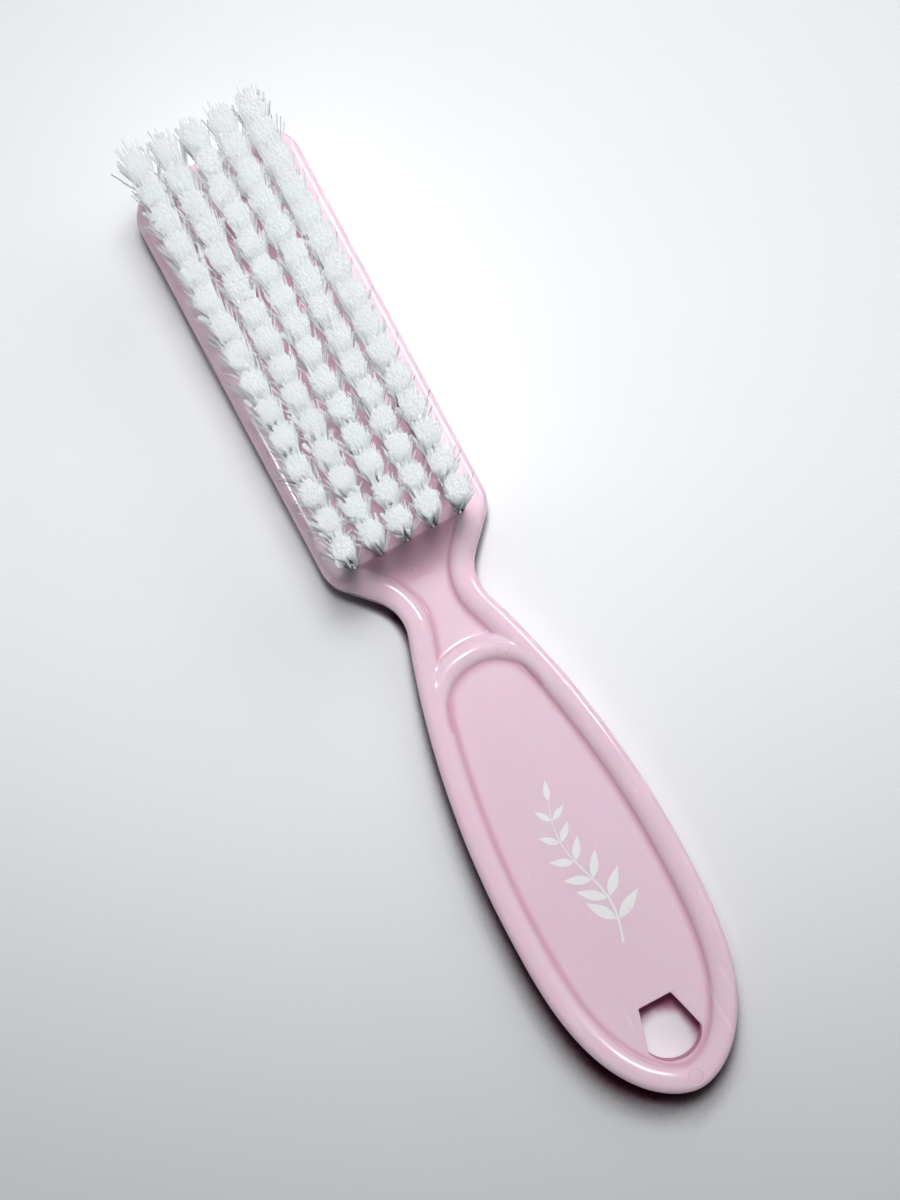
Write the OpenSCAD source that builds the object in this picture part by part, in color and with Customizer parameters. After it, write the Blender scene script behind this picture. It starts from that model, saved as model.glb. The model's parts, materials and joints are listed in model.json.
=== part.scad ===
// Nail brush: one moulded handle-and-head, with tufts of filament stapled into blind holes.
// X runs across the brush, +Y from the handle to the head, +Z from the flat back to the bristle tips.
// The origin is at the back face, under the middle of the brush.

/* [Head] */
// Width of the head
head_w = 30.6; // [28:0.1:36]
// Thickness of the head, from the back to the tuft face
head_t = 8; // [7:0.1:10]
// Radius of the two corners at the far end of the head
head_corner_r = 6; // [4.8:0.1:9]
// Radius of the rounded outer edges, front and back
edge_r = 1.4; // [0.8:0.1:2]

/* [Shoulders and neck] */
// Radius of the bend from the side of the head into the shoulder
shoulder_r = 5.4; // [4.8:0.1:8]
// How far each shoulder turns inwards, in degrees
shoulder_angle = 43.5; // [35:0.5:55]
// From the end of the tuft face back to where the shoulders start
shoulder_lead = 2.3; // [0:0.1:4]
// Width of the neck
neck_w = 14.5; // [12.5:0.1:18]
// Radius of the waist on each side of the neck
neck_r = 7.8; // [5:0.1:12]
// Length of the slope from the tuft face down to the channel
ramp_l = 6; // [4:0.1:9]
// Length over which the side rims rise to the tuft face
crest_rise_l = 8; // [5:0.1:10]

/* [Handle] */
// Width of the handle at its widest
handle_w = 32.4; // [26:0.1:40]
// Thickness of the handle over its rims
handle_t = 6.5; // [5.6:0.1:7.6]
// From the neck to the widest place
grip_front_l = 53.5; // [40:0.5:70]
// From the widest place to the tip of the tail
grip_back_l = 36.6; // [28:0.2:48]
// Width of the raised rim, from the edge to the foot of its inner slope
rim_w = 4.6; // [3.6:0.1:4.7]
// Depth of the panel below the rims, on the front
panel_depth = 1.4; // [0.8:0.1:2]
// Depth of the panel below the rims, on the back
back_depth = 1; // [0.5:0.1:1.6]

/* [Arched rim] */
// Radius of the arch that closes the panel, at its crest
arch_r = 10.6; // [9:0.1:12]
// Width of the arch at its foot
arch_w = 4.8; // [3.6:0.1:5.6]
// From the neck to the crest of the arch
arch_gap = 9.6; // [8:0.1:14]

/* [Hang hole] */
// Width of the straight end, nearest the head
hole_neck_w = 6; // [4.5:0.1:7.5]
// Width at the corners, where the hole is widest
hole_wide_w = 9.9; // [8:0.1:11]
// Length of the flared sides
hole_flare_l = 7.1; // [5:0.1:9]
// Depth of the round end, past the corners
hole_round_l = 3.3; // [2:0.1:4]
// From the tip of the tail to the hole
hole_gap = 5.5; // [5:0.1:7]

/* [Bristles] */
// Rows of tufts along the head
tuft_rows = 15; // [10:1:15]
// Tufts in each row
tuft_columns = 5; // [3:1:5]
// Distance between rows
row_pitch = 5.05; // [4.8:0.05:5.6]
// Distance between tufts in a row
column_pitch = 5; // [4.8:0.05:5.4]
// From the last row to the far end of the head
far_margin = 2.9; // [2.6:0.1:6]
// From the first row to the end of the tuft face
near_margin = 1; // [1:0.1:4]
// Height of the bristles above the tuft face
bristle_h = 22; // [14:0.5:26]
// Diameter of a tuft hole
tuft_hole_d = 1.8; // [1.6:0.05:2.2]
// Depth of a tuft hole
tuft_hole_depth = 5; // [4.5:0.1:6]
// Radius of a tuft at its tip, to the middle of its outer strands
tuft_tip_r = 2; // [1.2:0.1:2]
// Width of one strand
strand_w = 0.38; // [0.2:0.02:0.38]

/* [Anchors] */
// Width of an anchor, wider than its hole so that it bites into both walls
anchor_w = 2.4; // [2.3:0.1:3]
// Thickness of the anchor strip
anchor_t = 0.35; // [0.2:0.05:0.4]
// Height of an anchor
anchor_h = 1.5; // [1:0.1:2]
// Height of the fold of filament below an anchor
fold_h = 0.6; // [0.4:0.1:1]

/* [Hidden] */
// Tuft and anchor rows are numbered from the handle
function row_name(kind, row) = str(kind, row < 10 ? "0" : "", row);
round_fn = 96;
// One length that carries each cut past the face it opens
overrun = 0.5;
// Room between the filament in a hole and the wall of the hole
tuft_clearance = 0.05;
// Where a strand starts inside the filament of its tuft, below the tuft face
strand_root_depth = 1;
// Radius on which the strands of a tuft leave the hole
strand_root_r = 0.55;
// Angle between neighbouring strands of one half of a tuft
strand_angle = 50;
// How far the arch stays below the crest of the side rims
arch_drop = 0.1;
// Angle at which the arch ends inside each side rim, and how far its round section goes on below the panel
arch_end_angle = 38;
arch_sink_angle = 12;
// The round mark that the mould's gate leaves on the tail rim
gate_mark_d = 2.3;
gate_mark_depth = 0.15;
gate_mark_gap = 2.2;

// Lengths along the brush, from the far end of the head to the tip of the tail
tuft_field_l = (tuft_rows - 1) * row_pitch;
tuft_face_l = far_margin + tuft_field_l + near_margin;
head_straight_l = tuft_face_l - shoulder_lead;
shoulder_in = head_w / 2 - shoulder_r * (1 - cos(shoulder_angle));
waist_out = neck_w / 2 + neck_r * (1 - cos(shoulder_angle));
shoulder_slope_l = (shoulder_in - waist_out) / sin(shoulder_angle);
shoulder_l = shoulder_slope_l * cos(shoulder_angle) + (shoulder_r + neck_r) * sin(shoulder_angle);
body_l = head_straight_l + shoulder_l + grip_front_l + grip_back_l;

// Places along the brush
far_y = body_l / 2;
tail_y = -body_l / 2;
shoulder_y = far_y - head_straight_l;
neck_y = shoulder_y - shoulder_l;
wide_y = neck_y - grip_front_l;
face_end_y = far_y - tuft_face_l;
far_row_y = far_y - far_margin;
hole_end_y = tail_y + hole_gap;
hole_wide_y = hole_end_y + hole_round_l;
hole_neck_y = hole_wide_y + hole_flare_l;
arch_y = neck_y - arch_gap - arch_r;

// Heights
panel_z = handle_t - panel_depth;
web_mid_z = (panel_z + back_depth) / 2;
hole_floor_z = head_t - tuft_hole_depth;
anchor_z = hole_floor_z + fold_h;
tip_z = head_t + bristle_h;

// The side of the handle is one arc, tangent to the waist of the neck and to the widest place
flare_angle = 2 * atan((handle_w - neck_w) / 2 / grip_front_l);
side_r = grip_front_l / sin(flare_angle) - neck_r;

// The tail is a superellipse: its exponent along the brush, then across it
tail_exponent_along = 2.87;
tail_exponent_across = 1.8;
tail_steps = 16;
side_steps = 10;
waist_steps = 8;
slope_steps = 6;
bend_steps = 5;
corner_steps = 6;
edge_steps = 4;
arch_steps = 16;
bead_steps = 9;

function tail_point(a) = [handle_w / 2 * pow(sin(a), 2 / tail_exponent_across),
    wide_y - grip_back_l * pow(cos(a), 2 / tail_exponent_along)];

function arc(centre, r, from, to, steps) = [for (i = [0:steps])
    let (a = from + (to - from) * i / steps) centre + r * [cos(a), sin(a)]];

function skip_first(list) = [for (i = [1:len(list) - 1]) list[i]];

// The right half of the outline, from the tip of the tail to the middle of the far end
tail_part = [for (i = [0:tail_steps]) tail_point(90 * i / tail_steps)];
side_part = arc([handle_w / 2 - side_r, wide_y], side_r, 0, flare_angle, side_steps);
waist_part = arc([neck_w / 2 + neck_r, neck_y], neck_r, 180 + flare_angle, 180 - shoulder_angle, waist_steps);
bend_part = arc([head_w / 2 - shoulder_r, shoulder_y], shoulder_r, -shoulder_angle, 0, bend_steps);
slope_start = waist_part[waist_steps];
slope_part = [for (i = [1:slope_steps - 1]) slope_start + (bend_part[0] - slope_start) * i / slope_steps];
corner_part = arc([head_w / 2, far_y] - head_corner_r * [1, 1], head_corner_r, 0, 90, corner_steps);
half = concat(tail_part, skip_first(side_part), skip_first(waist_part), slope_part, bend_part, corner_part,
    [[0, far_y]]);
last = len(half) - 1;

// Outward direction at each point, from its two neighbours, which are mirrored at the two ends
function before(i) = i == 0 ? [-half[1].x, half[1].y] : half[i - 1];
function after(i) = i == last ? [-half[last - 1].x, half[last - 1].y] : half[i + 1];
function outward(i) = let (t = after(i) - before(i)) [t.y, -t.x] / norm(t);
outwards = [for (i = [0:last]) outward(i)];

// The half outline moved inwards by a distance
function inset_half(d) = [for (i = [0:last]) half[i] - d * outwards[i]];

function ease(t) = let (s = min(max(t, 0), 1)) s * s * (3 - 2 * s);

// Height of the crest of the rims, and of the ground between them, on the front
function crest_z(y) = head_t - (head_t - handle_t) * ease((face_end_y - y) / crest_rise_l);
function ground_z(y) = head_t - (head_t - panel_z) * ease((face_end_y - y) / ramp_l);
// Height of the ground between the rims on the back, where the head is flat
function back_z(y) = back_depth * ease((face_end_y - y) / crest_rise_l);

// The inner slope of a rim: shares of its width past the rounded edge, then shares of its depth
slope_shares = [[0.34, 0], [0.48, 0.08], [0.62, 0.3], [0.76, 0.66], [0.89, 0.93], [1, 1]];
slope_insets = [for (s = slope_shares) edge_r + s[0] * (rim_w - edge_r)];

function turned_up(list) = [for (i = [0:len(list) - 1]) list[len(list) - 1 - i]];

// One ring of points round the body, a right half and its mirror image, with a height for each
function ring(flat, heights) = concat(
    [for (i = [0:last]) [flat[i].x, flat[i].y, heights[i]]],
    [for (i = [1:last - 1]) let (j = last - i) [-flat[j].x, flat[j].y, heights[j]]]);

back_rings = turned_up([for (k = [0:len(slope_shares) - 1]) let (flat = inset_half(slope_insets[k]))
    ring(flat, [for (p = flat) slope_shares[k][1] * back_z(p.y)])]);
back_edge_rings = [for (k = [0:edge_steps]) let (a = 90 * k / edge_steps, flat = inset_half(edge_r * (1 - sin(a))))
    ring(flat, [for (p = flat) edge_r * (1 - cos(a))])];
front_edge_rings = [for (k = [0:edge_steps]) let (a = 90 * k / edge_steps, flat = inset_half(edge_r * (1 - cos(a))))
    ring(flat, [for (p = flat) crest_z(p.y) - edge_r * (1 - sin(a))])];
front_rings = [for (k = [0:len(slope_shares) - 1]) let (flat = inset_half(slope_insets[k]))
    ring(flat, [for (p = flat) crest_z(p.y) - slope_shares[k][1] * (crest_z(p.y) - ground_z(p.y))])];
rings = concat(back_rings, back_edge_rings, front_edge_rings, front_rings);
around = 2 * last;

// Triangles between two neighbouring rings, and strips across a closing ring from side to side
function wall_faces(k) = [for (j = [0:around - 1]) let (a = k * around, b = a + around, n = (j + 1) % around)
    each [[a + j, b + j, b + n], [a + j, b + n, a + n]]];
function strip_faces(k, up) = let (a = k * around) [for (j = [0:last - 1])
    let (p = a + j, q = a + j + 1, r = a + around - j - 1, s = a + (around - j) % around)
    each concat(q == r ? [] : [up ? [p, r, q] : [p, q, r]], p == s ? [] : [up ? [p, s, r] : [p, r, s]])];

module blank() {
    polyhedron(
        [for (r = rings) each r],
        concat(strip_faces(0, false), [for (k = [0:len(rings) - 2]) each wall_faces(k)],
            strip_faces(len(rings) - 1, true)));
}

// The bead that arches across the handle between the side rims, with its lower half sunk in the web
module arch() {
    bead_h = handle_t - arch_drop - panel_z;
    bead_r = (pow(arch_w / 2, 2) + bead_h * bead_h) / (2 * bead_h);
    bead_z = panel_z + bead_h - bead_r;
    section = arc([arch_r, bead_z], bead_r, -arch_sink_angle, 180 + arch_sink_angle, bead_steps);
    corners = bead_steps + 1;
    sections = [for (i = [0:arch_steps]) let (a = arch_end_angle + (180 - 2 * arch_end_angle) * i / arch_steps)
        [for (p = section) [p.x * cos(a), arch_y + p.x * sin(a), p.y]]];
    polyhedron([for (s = sections) each s], concat(
        [for (j = [1:corners - 2]) [0, j + 1, j]],
        [for (i = [0:arch_steps - 1]) for (j = [0:corners - 1])
            let (p = i * corners + j, q = i * corners + (j + 1) % corners)
            each [[p, q + corners, p + corners], [p, q, q + corners]]],
        [for (j = [1:corners - 2]) let (p = arch_steps * corners) [p, p + j, p + j + 1]]));
}

// The keystone hole in the tail, straight towards the head and round towards the tip
module hang_hole() {
    round_r = (pow(hole_wide_w / 2, 2) + pow(hole_round_l, 2)) / (2 * hole_round_l);
    translate([0, 0, -overrun])
        linear_extrude(handle_t + 2 * overrun) {
            polygon([[-hole_neck_w / 2, hole_neck_y], [hole_neck_w / 2, hole_neck_y],
                [hole_wide_w / 2, hole_wide_y], [-hole_wide_w / 2, hole_wide_y]]);
            intersection() {
                translate([0, hole_end_y + round_r])
                    circle(round_r, $fn = round_fn);
                translate([-hole_wide_w / 2, hole_end_y - overrun])
                    square([hole_wide_w, hole_round_l + 2 * overrun]);
            }
        }
}

// Runs its children once for each tuft of a row, or of every row
module at_tufts(row) {
    for (column = [0:tuft_columns - 1])
        translate([(column - (tuft_columns - 1) / 2) * column_pitch, far_row_y - (tuft_rows - row) * row_pitch, 0])
            children();
}

module tuft_hole() {
    translate([0, 0, hole_floor_z])
        cylinder(d = tuft_hole_d, h = tuft_hole_depth + overrun, $fn = round_fn);
}

// A flat strip of metal on edge across the hole, its width along the brush
module anchor() {
    translate([-anchor_t / 2, -anchor_w / 2, anchor_z])
        cube([anchor_t, anchor_w, anchor_h]);
}

module gate_mark() {
    translate([0, tail_y + gate_mark_gap, handle_t - gate_mark_depth])
        cylinder(d = gate_mark_d, h = gate_mark_depth + overrun, $fn = round_fn);
}

module body() {
    color("pink")
        difference() {
            union() {
                blank();
                arch();
            }
            hang_hole();
            gate_mark();
            for (row = [1:tuft_rows])
                at_tufts(row) {
                    tuft_hole();
                    anchor();
                }
        }
}

// One strand, from inside the filament in the hole out to its tip
module strand(angle) {
    half_w = strand_w / 2;
    corners = [[-half_w, -half_w], [half_w, -half_w], [half_w, half_w], [-half_w, half_w]];
    way = [cos(angle), sin(angle)];
    polyhedron(
        concat([for (c = corners) let (p = c + strand_root_r * way) [p.x, p.y, head_t - strand_root_depth]],
            [for (c = corners) let (p = c + tuft_tip_r * way) [p.x, p.y, tip_z]]),
        [[0, 1, 2], [0, 2, 3], [4, 6, 5], [4, 7, 6], [0, 4, 5], [0, 5, 1],
            [1, 5, 6], [1, 6, 2], [2, 6, 7], [2, 7, 3], [3, 7, 4], [3, 4, 0]]);
}

// One tuft: the filament that fills its hole, folded round the anchor, with strands on both sides
module tuft() {
    difference() {
        union() {
            translate([0, 0, hole_floor_z])
                cylinder(d = tuft_hole_d - 2 * tuft_clearance, h = tuft_hole_depth, $fn = round_fn);
            for (side = [0, 180])
                for (turn = [-1:1])
                    strand(side + turn * strand_angle);
        }
        anchor();
    }
}

module tuft_row(row) {
    color("white")
        at_tufts(row)
            tuft();
}

module anchor_row(row) {
    color("silver")
        at_tufts(row)
            anchor();
}

body();
for (row = [1:tuft_rows]) {
    tuft_row(row);
    anchor_row(row);
}
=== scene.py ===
# %% [markdown]
# # A nail brush, built piece by piece
# A long-handled nail brush is three things. One moulding in glossy pink plastic makes the head, the neck
# and the handle. Tufts of white nylon stand in drilled holes in the head. A small flat anchor holds each
# tuft at the bottom of its hole. The brush lies on its back, with the bristles up.
# Every length here is in metres, and the pieces share the frame of the measured model: X runs across the
# brush, +Y points from the handle to the head, and +Z points up from the back to the bristle tips.

# %% Load the measured model
import json
import math

import bpy
import numpy as np
from mathutils import Matrix, Vector
from mathutils.geometry import delaunay_2d_cdt

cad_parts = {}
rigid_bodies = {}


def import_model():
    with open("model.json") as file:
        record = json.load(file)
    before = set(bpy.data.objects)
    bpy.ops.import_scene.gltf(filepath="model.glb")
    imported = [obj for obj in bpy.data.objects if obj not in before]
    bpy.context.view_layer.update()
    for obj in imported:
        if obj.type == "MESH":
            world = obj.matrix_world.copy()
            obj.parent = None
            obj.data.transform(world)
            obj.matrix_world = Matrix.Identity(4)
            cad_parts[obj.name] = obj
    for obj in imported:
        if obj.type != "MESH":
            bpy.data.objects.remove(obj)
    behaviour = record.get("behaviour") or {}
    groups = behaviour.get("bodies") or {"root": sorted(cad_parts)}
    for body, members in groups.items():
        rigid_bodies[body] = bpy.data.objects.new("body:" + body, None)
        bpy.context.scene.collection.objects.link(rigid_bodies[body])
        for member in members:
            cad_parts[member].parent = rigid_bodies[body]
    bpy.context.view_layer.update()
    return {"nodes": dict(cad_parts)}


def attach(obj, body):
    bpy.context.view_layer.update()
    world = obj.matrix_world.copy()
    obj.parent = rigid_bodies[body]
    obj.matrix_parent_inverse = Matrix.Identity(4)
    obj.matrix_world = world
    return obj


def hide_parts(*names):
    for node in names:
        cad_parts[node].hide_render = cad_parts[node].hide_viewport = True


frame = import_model()

# %% [markdown]
# ## The camera
# The brush was seen from about a third of a metre above its neck, with the head turned to the upper left.
# A camera's place is a point, and its turn is three directions: what is right in the picture, what is up,
# and what points back at the viewer. Writing them as the columns of a matrix avoids Euler angles.

# %% Camera
SENSOR_MM, FOCAL_MM = 36.0, 58.5
CAMERA_AT = (-0.00577, -0.02746, 0.32997)
PICTURE_RIGHT = (0.88192, -0.47084, -0.02273)
PICTURE_UP = (0.47086, 0.87764, 0.08966)
PICTURE_BACK = (-0.02226, -0.08977, 0.99571)

camera_data = bpy.data.cameras.new("viewpoint")
camera_data.sensor_fit = "VERTICAL"
camera_data.sensor_height = SENSOR_MM
camera_data.lens = FOCAL_MM
camera_data.clip_start = 0.01
camera = bpy.data.objects.new("viewpoint", camera_data)
turn = Matrix((PICTURE_RIGHT, PICTURE_UP, PICTURE_BACK)).transposed().to_4x4()
camera.matrix_world = Matrix.Translation(CAMERA_AT) @ turn
bpy.context.scene.collection.objects.link(camera)
bpy.context.scene.camera = camera
print("camera looks along", [round(-v, 3) for v in PICTURE_BACK])

# %% [markdown]
# ## Helpers for nodes
# Node trees carry both the finishes and the bristles. `add` puts a node in a tree and fills its inputs,
# either with a plain value or with a link. `Field` wraps an output so that sums on it can be typed as sums:
# each + or * then becomes a Math node. `use` adds a node and gives one of its outputs as such a field. That
# keeps a tree readable as a formula.

# %% Node helpers
def pick(sockets, name):
    """The socket of that number, or the one of that name that the node's settings leave in use."""
    if isinstance(name, int):
        return sockets[name]
    return next(s for s in sockets if s.name == name and not s.is_unavailable)


def plug(tree, value, socket):
    if isinstance(value, Field):
        tree.links.new(value.socket, socket)
    else:
        socket.default_value = value


def fill_in(tree, node, values):
    """Fills a node's inputs, by name or by number."""
    for name, value in values.items():
        plug(tree, value, pick(node.inputs, name))


def add(tree, kind, inputs=None, **settings):
    """A new node, with its settings made and its inputs filled."""
    node = tree.nodes.new(kind)
    for name, value in settings.items():
        setattr(node, name, value)
    fill_in(tree, node, inputs or {})
    return node


def out(tree, node, name=0):
    return Field(tree, pick(node.outputs, name))


def use(tree, kind, inputs=None, output=0, **settings):
    """One output of a new node."""
    return out(tree, add(tree, kind, inputs, **settings), output)


class Field:
    """A node's output that plain sums can be written with."""

    def __init__(self, tree, socket):
        self.tree, self.socket = tree, socket

    def math(self, operation, *others):
        node = add(self.tree, "ShaderNodeMath", operation=operation)
        for value, socket in zip((self, *others), node.inputs):
            plug(self.tree, value, socket)
        return Field(self.tree, node.outputs[0])

    def __add__(self, other):
        return self.math("ADD", other)

    def __sub__(self, other):
        return self.math("SUBTRACT", other)

    def __mul__(self, other):
        return self.math("MULTIPLY", other)

    def __truediv__(self, other):
        return self.math("DIVIDE", other)

    def __pow__(self, other):
        return self.math("POWER", other)

    def remap(self, low, high, to_low=0.0, to_high=1.0, smooth=False):
        """Carries one range over to another, and holds the value beyond its ends."""
        return use(self.tree, "ShaderNodeMapRange", {
            "Value": self, "From Min": low, "From Max": high, "To Min": to_low, "To Max": to_high},
            interpolation_type="SMOOTHSTEP" if smooth else "LINEAR")


def vector(tree, x, y, z):
    return use(tree, "ShaderNodeCombineXYZ", {"X": x, "Y": y, "Z": z})


def parts_of(tree, value):
    """The three numbers of a vector."""
    node = add(tree, "ShaderNodeSeparateXYZ", {"Vector": value})
    return [out(tree, node, k) for k in range(3)]


def new_tree(name, kind, inputs, outputs):
    """A node group with named sockets: inputs are (name, type, value), outputs (name, type)."""
    tree = bpy.data.node_groups.new(name, kind)
    for label, socket_type, value in inputs:
        socket = tree.interface.new_socket(label, in_out="INPUT", socket_type="NodeSocket" + socket_type)
        if value is not None:
            socket.default_value = value
    for label, socket_type in outputs:
        tree.interface.new_socket(label, in_out="OUTPUT", socket_type="NodeSocket" + socket_type)
    given = add(tree, "NodeGroupInput")
    result = add(tree, "NodeGroupOutput")
    return tree, {i[0]: out(tree, given, i[0]) for i in inputs}, result


# %% [markdown]
# ## Shared effects of a surface
# Three effects come back in several finishes, so each is a node group with named inputs. `mottle` is the
# slow, weak unevenness of a moulded or brushed surface. `scuffs` are hairline scratches in one direction,
# cut up by a second noise so that they are short and rare. `dust` is a few tiny specks.

# %% Group: mottle
mottle, given, result = new_tree(
    "mottle", "ShaderNodeTree", [("Vector", "Vector", None), ("Scale", "Float", 60.0)], [("Value", "Float")])
noise = use(mottle, "ShaderNodeTexNoise", {
    "Vector": given["Vector"], "Scale": given["Scale"], "Detail": 3.0}, "Fac")
plug(mottle, noise.remap(0.3, 0.7), result.inputs["Value"])

# %% Group: scuffs
scuffs, given, result = new_tree(
    "scuffs", "ShaderNodeTree",
    [("Vector", "Vector", None), ("Along", "Vector", (1.0, 1.0, 1.0)), ("Rarity", "Float", 0.6)],
    [("Mask", "Float")])
stretched = use(scuffs, "ShaderNodeVectorMath", {0: given["Vector"], 1: given["Along"]}, operation="MULTIPLY")
lines = use(scuffs, "ShaderNodeTexNoise", {"Vector": stretched, "Scale": 1.0, "Detail": 2.0}, "Fac")
areas = use(scuffs, "ShaderNodeTexNoise", {"Vector": given["Vector"], "Scale": 90.0, "Detail": 1.0}, "Fac")
thin = lines.remap(given["Rarity"], given["Rarity"] + 0.04)
plug(scuffs, thin * areas.remap(0.5, 0.62), result.inputs["Mask"])

# %% Group: dust
dust, given, result = new_tree(
    "dust", "ShaderNodeTree",
    [("Vector", "Vector", None), ("Scale", "Float", 150.0), ("Size", "Float", 0.03)],
    [("Mask", "Float")])
cells = add(dust, "ShaderNodeTexVoronoi", {"Vector": given["Vector"], "Scale": given["Scale"]}, feature="F1")
speck = out(dust, cells, "Distance").math("LESS_THAN", given["Size"])
chance = use(dust, "ShaderNodeSeparateColor", {"Color": out(dust, cells, "Color")})
plug(dust, speck * chance.math("GREATER_THAN", 0.8), result.inputs["Mask"])
print("shared groups:", mottle.name, scuffs.name, dust.name)

# %% Helpers for materials
BUMP_DEPTH = 0.00001


def new_material(name):
    """A material with one Principled shader, and the piece's own coordinates."""
    material = bpy.data.materials.new(name)
    material.use_nodes = True
    tree = material.node_tree
    tree.nodes.clear()
    shader = add(tree, "ShaderNodeBsdfPrincipled")
    add(tree, "ShaderNodeOutputMaterial", {"Surface": out(tree, shader)})
    return material, tree, shader, use(tree, "ShaderNodeTexCoord", output="Object")


def use_group(tree, group, inputs):
    node = tree.nodes.new("ShaderNodeGroup")
    node.node_tree = group
    fill_in(tree, node, inputs)
    return out(tree, node)


def stored(tree, name):
    """A number that the points of the mesh carry."""
    return use(tree, "ShaderNodeAttribute", output="Fac", attribute_name=name)


def blend_colour(tree, share, first, second):
    return use(tree, "ShaderNodeMix", {"Factor": share, "A": first, "B": second}, "Result", data_type="RGBA")


def bump(tree, height, strength):
    return use(tree, "ShaderNodeBump", {"Height": height, "Distance": BUMP_DEPTH, "Strength": strength})


# %% [markdown]
# ## Pink plastic
# The body is a glossy thermoplastic, coloured right through. Light goes a little way into it and comes out
# redder, which is why its shaded sides look warm and saturated: a small subsurface weight does that. The
# colour is also painted a deep crimson at the foot of the rim, on the walls of the holes and among the tufts.
# That is painted shade, for the shade that falls in those folds and hollows. Two numbers on every point of
# the mesh say how far it lies inside the outline and how far from a fold.
# The gloss is even, with faint flow marks, hardly any dust, and a few hairline scuffs that barely change
# the colour. It is duller on the drilled face and in the holes, and a little duller towards the tail,
# where a hand holds the brush.

# %% Material: pink plastic
PINK = (0.87, 0.66, 0.765, 1.0)
PINK_DEEP = (0.85, 0.63, 0.74, 1.0)
PALE_DUST = (0.95, 0.90, 0.92, 1.0)
CRIMSON_SHADE = (0.55, 0.16, 0.30, 1.0)
GLOW_DEPTH, GLOW_REACH = 0.0009, (1.0, 0.55, 0.7)
INSET, FOLD = "inset", "fold"
# Shares of the painted crimson shade in folds, on the walls of holes and among the tufts
FOLD_W, FOLD_SHADE_SHARE, WALL_SHADE_SHARE, UNDER_SHADE_SHARE = 0.00055, 0.46, 0.90, 0.58
WALL_FROM, WALL_BELOW, BACK_BELOW = 0.003, 0.0050, 0.0013
INNER_FROM, INNER_FULL = 0.0036, 0.0052
TUFTED_FROM_Y, TUFTED_FULL_Y = 0.004, 0.0130
FACE_FROM_Y, FACE_INSET, FACE_DULL, WALL_DULL = 0.0137, 0.002, 0.3, 0.3
HELD_FROM_Y, HELD_FULL_Y, HELD_DULL = -0.026, -0.060, 0.14

pink_plastic, tree, shader, place = new_material("pink_plastic")
flow = use_group(tree, mottle, {"Vector": place, "Scale": 45.0})
marks = use_group(tree, scuffs, {"Vector": place, "Along": (900.0, 60.0, 400.0), "Rarity": 0.64})
specks = use_group(tree, dust, {"Vector": place, "Scale": 160.0, "Size": 0.022})
grain = use_group(tree, mottle, {"Vector": place, "Scale": 900.0})
inset = stored(tree, INSET)
_, along_brush, height = parts_of(tree, place)
fold = stored(tree, FOLD) / FOLD_W
# Painted shade: crimson at the foot of the rim and the arch, on the walls of the holes and on the ground
# among the tufts
fold_shade = (fold * fold * -1.0).math("EXPONENT") * FOLD_SHADE_SHARE
off_back = height.math("GREATER_THAN", BACK_BELOW)
wall = off_back * inset.math("GREATER_THAN", WALL_FROM) * height.math("LESS_THAN", WALL_BELOW)
inner = inset.remap(INNER_FROM, INNER_FULL, 0.0, UNDER_SHADE_SHARE)
tuft_shade = inner * along_brush.remap(TUFTED_FROM_Y, TUFTED_FULL_Y) * off_back
painted_shade = fold_shade.math("MAXIMUM", wall * WALL_SHADE_SHARE).math("MAXIMUM", tuft_shade)
tint = blend_colour(tree, flow, PINK_DEEP, PINK)
tint = blend_colour(tree, painted_shade, tint, CRIMSON_SHADE)
tint = blend_colour(tree, marks * 0.06, tint, PALE_DUST)
on_face = along_brush.math("GREATER_THAN", FACE_FROM_Y) * inset.math("GREATER_THAN", FACE_INSET)
held = along_brush.remap(HELD_FROM_Y, HELD_FULL_Y, 0.0, HELD_DULL, smooth=True)
duller = held + on_face * FACE_DULL + wall * WALL_DULL
fill_in(tree, shader, {
    "Base Color": blend_colour(tree, specks, tint, PALE_DUST),
    "Roughness": grain * 0.02 + flow * 0.03 + marks * 0.12 + duller + 0.07,
    "Normal": bump(tree, grain * 0.25 - marks * 0.5, 0.4),
    "Specular IOR Level": 0.5,
    "Subsurface Weight": 0.6,
    "Subsurface Radius": GLOW_REACH,
    "Subsurface Scale": GLOW_DEPTH})
print("material:", pink_plastic.name)

# %% [markdown]
# ## White nylon
# Each filament is a clear-white nylon thread about 0.2 mm thick. A bundle of them looks white because
# light bounces from thread to thread. Nylon also lets light through, so a thread hardly shades the ones
# behind it: for rays on their way to a lamp it is nearly clear. The colour carries painted light and shade as
# well. The foot, deep between the tufts, is painted dark as shade, and the lower part of each thread is
# painted lighter than its tip, as painted light for the light that the tuft passes down. A number that runs
# from 0 at the hole to 1 at the tip carries that change along every filament. Another one picks some bent
# threads beside the gaps and paints them grey, a painted shade for threads that stand in shadow.

# %% Material: white nylon
ALONG, SHADED_THREAD = "along", "dim"
NYLON_FOOT_SHADE = (0.20, 0.08, 0.10, 1.0)
NYLON_LOW_LIT = (0.92, 0.93, 0.94, 1.0)
NYLON_TIP = (0.65, 0.675, 0.685, 1.0)
NYLON_SHADED = (0.20, 0.19, 0.20, 1.0)
LET_THROUGH, FOOT_PART, SHADED_THREAD_SHARE = 0.88, 0.14, 0.7

white_nylon, tree, shader, place = new_material("white_nylon")
along = stored(tree, ALONG)
uneven = use_group(tree, mottle, {"Vector": place, "Scale": 700.0})
# Painted shade and light along each thread: the foot is painted dark, and the lower part lighter than the tip
clear = (along / FOOT_PART).math("MINIMUM", 1.0)
tint = blend_colour(tree, along, NYLON_LOW_LIT, NYLON_TIP)
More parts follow.
